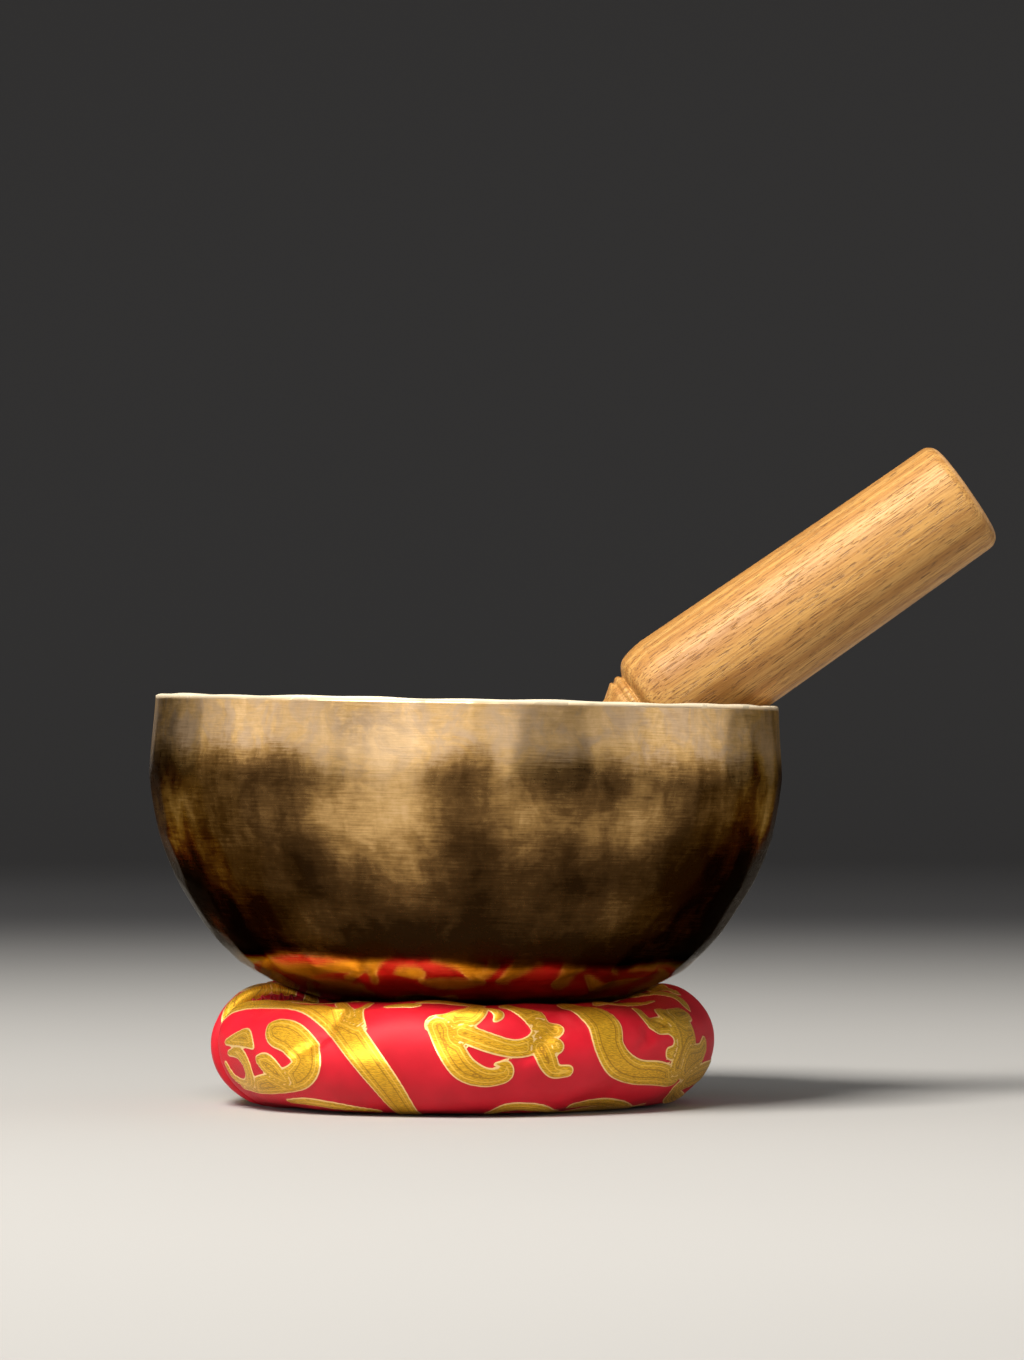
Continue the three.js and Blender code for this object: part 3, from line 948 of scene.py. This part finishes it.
def bronze_material():
    """Hammered bell bronze: brushed gold under a mottled brown patina, darker downwards partly as
    painted shade, with a painted lilac highlight in the upper band.
    """
    s = Shader("hammered_bronze")
    local = s.attribute("local", vector=True)
    height = s.node("SeparateXYZ", {0: local}).outputs[2]
    inside = s.attribute("inside")
    filed = s.attribute("filed")
    dent = s.attribute("dent")

    cloud = s.noise(local, 0.16, 4, 0.6, 0.8)
    upright = s.noise(s.scaled(local, (1, 1, 0.22)), 0.30, 3, 0.5, 0.4)
    speck = s.noise(local, 0.7, 4, 0.65)
    brushed = s.noise(s.scaled(local, (0.16, 0.16, 3.4)), 1.0, 4, 0.65)
    fine_brush = s.noise(s.scaled(local, (0.3, 0.3, 9.0)), 1.0, 2, 0.6)

    patina_and_shade = s.attribute("patina_and_shade")
    patina_and_shade = s.math("ADD", patina_and_shade, s.band(cloud, 0.25, 0.75, -0.08, 0.08))
    patina_and_shade = s.math("ADD", patina_and_shade, s.band(upright, 0.25, 0.75, -0.05, 0.05))
    patina_and_shade = s.math("ADD", patina_and_shade, s.band(speck, 0.25, 0.75, -0.035, 0.035))
    patina_and_shade = s.math("ADD", patina_and_shade, s.band(brushed, 0.25, 0.75, -0.07, 0.07))
    patina_and_shade = s.math("SUBTRACT", patina_and_shade, s.math("MULTIPLY", dent, 0.18))
    # The darkest colours at the low end carry painted shade as well as patina.
    outside = s.ramp(patina_and_shade, [
        (0.0, colour(0.82, 0.56, 0.30)),
        (0.2, colour(0.64, 0.40, 0.16)),
        (0.4, colour(0.34, 0.195, 0.065)),
        (0.56, colour(0.155, 0.082, 0.027)),
        (0.74, colour(0.065, 0.032, 0.010)),
        (1.0, colour(0.022, 0.010, 0.003)),
    ])
    # Painted highlight: a pale grey-lilac tint on the lighter parts of the upper band, where lamps'
    # reflections show.
    painted_lilac_highlight = s.math("MULTIPLY", s.band(patina_and_shade, 0.5, 0.26), s.band(cloud, 0.40, 0.62, 0, 0.6))
    painted_lilac_highlight = s.math("MULTIPLY", s.band(height, 40, 54), painted_lilac_highlight)
    outside = s.mix(painted_lilac_highlight, outside, colour(0.56, 0.41, 0.29))
    inner = s.mix(s.band(upright, 0.25, 0.8), colour(0.60, 0.40, 0.17), colour(0.44, 0.275, 0.105))
    base = s.mix(inside, outside, inner)
    base = s.mix(filed, base, colour(0.95, 0.84, 0.62))

    rough = s.band(patina_and_shade, 0.1, 0.6, 0.36, 0.28)
    not_inside = s.math("SUBTRACT", 1.0, inside)
    smooth_foot = s.math("MULTIPLY", s.band(height, 13, 10, 0, 0.2), not_inside)
    rough = s.math("SUBTRACT", rough, smooth_foot)
    rough = s.math("ADD", rough, s.band(speck, 0.2, 0.8, -0.04, 0.06))
    rough = s.math("ADD", rough, s.math("MULTIPLY", filed, 0.08))
    rough = s.math("ADD", rough, s.math("MULTIPLY", inside, 0.16))
    metallic = s.math("SUBTRACT", 1.0, s.math("MULTIPLY", filed, 0.7))
    relief = s.math("ADD", brushed, s.math("MULTIPLY", fine_brush, 0.6))
    normal = s.bump(relief, 0.20, 0.00012)
    normal = s.bump(speck, 0.10, 0.0002, normal)
    return s.finish(Base_Color=base, Metallic=metallic, Roughness=rough, Normal=normal,
                    Specular_Tint=colour(0.26, 0.235, 0.20))


def wood_material():
    """Straight-grained open-pored hardwood, waxed; end grain on the barrel's end."""
    s = Shader("hardwood")
    local = s.attribute("local", vector=True)
    figure = s.noise(s.scaled(local, (1, 1, 0.02)), 0.22, 3, 0.5, 0.3)
    split = s.node("SeparateXYZ", {0: local})
    sideways = s.math("ADD", split.outputs[0], s.math("MULTIPLY", figure, 9.0))
    rings = s.math("SINE", s.math("MULTIPLY", sideways, 1.7))
    fibre = s.noise(s.scaled(local, (1, 1, 0.025)), 3.0, 5, 0.7)
    streak = s.noise(s.scaled(local, (1, 1, 0.03)), 0.55, 3, 0.6)
    pores = s.noise(s.scaled(local, (1, 1, 0.08)), 3.8, 3, 0.55)
    pore_mask = s.band(pores, 0.56, 0.64)
    base = s.mix(s.band(rings, -1, 1), colour(0.44, 0.212, 0.050), colour(0.56, 0.305, 0.086))
    base = s.mix(s.band(streak, 0.45, 0.7, 0, 0.45), base, colour(0.30, 0.125, 0.030))
    base = s.mix(s.band(fibre, 0.45, 0.62, 0, 0.6), base, colour(0.27, 0.108, 0.024))
    base = s.mix(s.math("MULTIPLY", pore_mask, 0.65), base, colour(0.10, 0.038, 0.010))
    end_grain = s.band(split.outputs[2], MALLET_LENGTH - 1.4, MALLET_LENGTH - 0.9)
    base = s.mix(s.math("MULTIPLY", end_grain, 0.5), base, colour(0.62, 0.36, 0.17))
    rough = s.band(fibre, 0.3, 0.7, 0.42, 0.58)
    relief = s.math("SUBTRACT", s.math("MULTIPLY", fibre, 0.5), pore_mask)
    normal = s.bump(relief, 0.45, 0.00014)
    return s.finish(Base_Color=base, Roughness=rough, Normal=normal, Specular_IOR_Level=0.35)


def brocade_material():
    """Red satin with gold figures, each with a pale outline, an inner line and fine ribs."""
    s = Shader("brocade")
    figures = s.attribute("figures")
    cloth = s.attribute("cloth", vector=True)
    gold_mask = s.band(figures, 0.05, -0.05)
    outline = s.math("MULTIPLY", gold_mask, s.band(figures, -0.36, -0.22))
    inner = s.math("MULTIPLY", s.band(figures, -1.26, -1.16), s.band(figures, -0.94, -1.04))
    second = s.math("MULTIPLY", s.band(figures, -2.05, -1.95), s.band(figures, -1.72, -1.82))

    turned = s.node("Mapping", {"Vector": cloth, "Rotation": (0, 0, 0.16)}).outputs[0]
    wobble = {"Vector": turned, "Scale": 2.0, "Distortion": 0.5, "Detail": 1.0, "Detail Scale": 3.0}
    ribs = s.node("TexWave", wobble, bands_direction="Y").outputs["Fac"]
    thread = s.noise(s.scaled(turned, (0.35, 2.6, 1)), 2.6, 2, 0.6)
    shade = s.noise(cloth, 0.11, 3, 0.5)

    gold = s.mix(s.band(thread, 0.35, 0.68), colour(0.86, 0.46, 0.022), colour(0.36, 0.13, 0.005))
    gold = s.mix(s.math("MULTIPLY", ribs, 0.45), gold, colour(1.0, 0.66, 0.05))
    gold = s.mix(s.math("MULTIPLY", inner, 0.7), gold, colour(0.98, 0.62, 0.10))
    gold = s.mix(s.math("MULTIPLY", second, 0.6), gold, colour(0.30, 0.12, 0.015))
    gold = s.mix(outline, gold, colour(1.0, 0.70, 0.30))

    satin = s.node("TexWave", {"Vector": cloth, "Scale": 3.3, "Distortion": 0.3},
                   bands_direction="DIAGONAL").outputs["Fac"]
    red = s.mix(s.band(shade, 0.3, 0.7), colour(0.52, 0.003, 0.014), colour(0.64, 0.006, 0.022))
    red = s.mix(s.math("MULTIPLY", satin, 0.25), red, colour(0.38, 0.001, 0.008))
    base = s.mix(gold_mask, red, gold)
    rough = s.band(gold_mask, 0, 1, 0.52, 0.34)
    weave = s.math("ADD", s.math("MULTIPLY", ribs, gold_mask), s.math("MULTIPLY", satin, 0.25))
    weave = s.math("ADD", weave, s.math("MULTIPLY", thread, gold_mask))
    normal = s.bump(weave, 0.5, 0.0001)
    metal = s.math("MULTIPLY", gold_mask, 0.6)
    return s.finish(Base_Color=base, Metallic=metal, Roughness=rough, Normal=normal,
                    Specular_IOR_Level=0.3)


def plain_fibre_material(name, tint, scale):
    """Thread or wadding: matt fibre with a fine twisted grain."""
    s = Shader(name)
    position = s.node("TexCoord").outputs["Object"]
    fibre = s.noise(position, scale, 3, 0.6)
    darker = tuple(0.55 * channel for channel in tint)
    base = s.mix(fibre, colour(*darker), colour(*tint))
    normal = s.bump(fibre, 0.4, 0.0002)
    return s.finish(Base_Color=base, Roughness=0.85, Normal=normal)


def stage_material():
    """A pale floor round the object whose tone falls away to dark grey at the wall."""
    s = Shader("pale_stage")
    position = s.node("TexCoord").outputs["Object"]
    reach = s.node("VectorMath", {0: position}, operation="LENGTH").outputs["Value"]
    tone = s.noise(position, 3.0, 2, 0.5)
    floor = s.mix(tone, colour(0.39, 0.387, 0.38), colour(0.43, 0.427, 0.42))
    base = s.mix(s.band(reach, 0.22, 1.3), floor, colour(0.055, 0.055, 0.058))
    return s.finish(Base_Color=base, Roughness=0.8)


# ---------------------------------------------------------------- stage, light and camera

STAGE_RADIUS = 3.2
STAGE_WALL = 2.4
CAMERA_DISTANCE = 1.2
CAMERA_HEIGHT = 0.0740
CAMERA_SIDE = 0.0101
CAMERA_PITCH = math.radians(0.47)
CAMERA_LENS = 160.4


def make_stage():
    """A pale round floor whose edge curves up to a wall, the same from every side."""
    corner = arc((STAGE_RADIUS - 1.0, 1.0), 1.0, -90, 0, 24)
    profile = np.vstack([[(0.001, 0.0), (0.5, 0.0)], corner, [(STAGE_RADIUS, STAGE_WALL)]])
    columns = 96
    points = lathe_points(profile[:, :1], profile[:, 1:], columns).reshape(-1, 3)
    faces = grid_faces(len(profile), columns, False)[:, ::-1]
    mesh = bpy.data.meshes.new("stage")
    mesh.from_pydata(points.tolist(), [], faces.tolist())
    mesh.materials.append(stage_material())
    mesh.shade_smooth()
    stage = bpy.data.objects.new("stage", mesh)
    bpy.context.scene.collection.objects.link(stage)


def area_light(name, place, target, size, power, tint=(1, 1, 1), spread=180):
    """A rectangular lamp that the camera can't see; its spread is in degrees."""
    light = bpy.data.lights.new(name, "AREA")
    light.spread = math.radians(spread)
    light.shape = "RECTANGLE"
    light.size, light.size_y = size
    light.energy = power
    light.color = tint
    lamp = bpy.data.objects.new(name, light)
    lamp.location = place
    lamp.rotation_euler = (Vector(target) - Vector(place)).to_track_quat("-Z", "Y").to_euler()
    lamp.visible_camera = False
    bpy.context.scene.collection.objects.link(lamp)


def make_world():
    """A soft grey surround, brighter overhead than at the horizon."""
    world = bpy.data.worlds.new("soft_grey")
    world.use_nodes = True
    tree = world.node_tree
    sky = tree.nodes["Background"]
    direction = tree.nodes.new("ShaderNodeTexCoord").outputs["Generated"]
    split = tree.nodes.new("ShaderNodeSeparateXYZ")
    fade = tree.nodes.new("ShaderNodeMapRange")
    fade.inputs["From Min"].default_value = 0.1
    fade.inputs["From Max"].default_value = 0.9
    fade.inputs["To Min"].default_value = 0.05
    fade.inputs["To Max"].default_value = 0.30
    tree.links.new(direction, split.inputs[0])
    tree.links.new(split.outputs[2], fade.inputs["Value"])
    tree.links.new(fade.outputs[0], sky.inputs["Strength"])
    sky.inputs["Color"].default_value = colour(1.0, 0.985, 0.96)
    bpy.context.scene.world = world


def make_light():
    """A soft key over the front, low panels on three sides, and two strips behind."""
    middle = (0, 0, 0.05)
    warm, white = (1.0, 0.95, 0.88), (1.0, 0.97, 0.93)
    area_light("key", (-0.6, -0.9, 1.4), middle, (0.8, 0.7), 58, warm)
    area_light("front", (-0.25, -2.3, 0.50), middle, (2.4, 0.9), 4.4, white, 120)
    area_light("left_panel", (-2.2, -0.3, 0.50), middle, (2.6, 0.9), 5.0, white, 120)
    area_light("right_panel", (2.2, -0.4, 0.50), middle, (2.4, 0.9), 4.4, white, 120)
    area_light("left_strip", (-0.62, 1.7, 0.30), middle, (0.14, 0.5), 0.35)
    area_light("right_strip", (1.25, 1.35, 0.30), middle, (0.10, 0.5), 0.35)


def make_camera():
    """A long lens in front, level with the upper part of the bowl."""
    data = bpy.data.cameras.new("camera")
    data.lens = CAMERA_LENS
    data.sensor_width = 36
    camera = bpy.data.objects.new("camera", data)
    camera.location = (CUSHION_X * MM + CAMERA_SIDE, -CAMERA_DISTANCE, CAMERA_HEIGHT)
    camera.rotation_euler = (math.pi / 2 + CAMERA_PITCH, 0, 0)
    bpy.context.scene.collection.objects.link(camera)
    bpy.context.scene.camera = camera
    bpy.context.scene.view_settings.view_transform = "Standard"


# ---------------------------------------------------------------- the whole

make_camera()
make_stage()
make_world()
make_light()
make_bowl(bronze_material())
make_mallet(wood_material())
ring, ring_azimuth, ring_up = make_cushion(brocade_material())
sewing_thread = plain_fibre_material("sewing_thread", (0.50, 0.015, 0.03), 900)
make_threads(ring, ring_azimuth, ring_up, sewing_thread)
make_wadding(ring, plain_fibre_material("wadding", (0.85, 0.82, 0.75), 500))
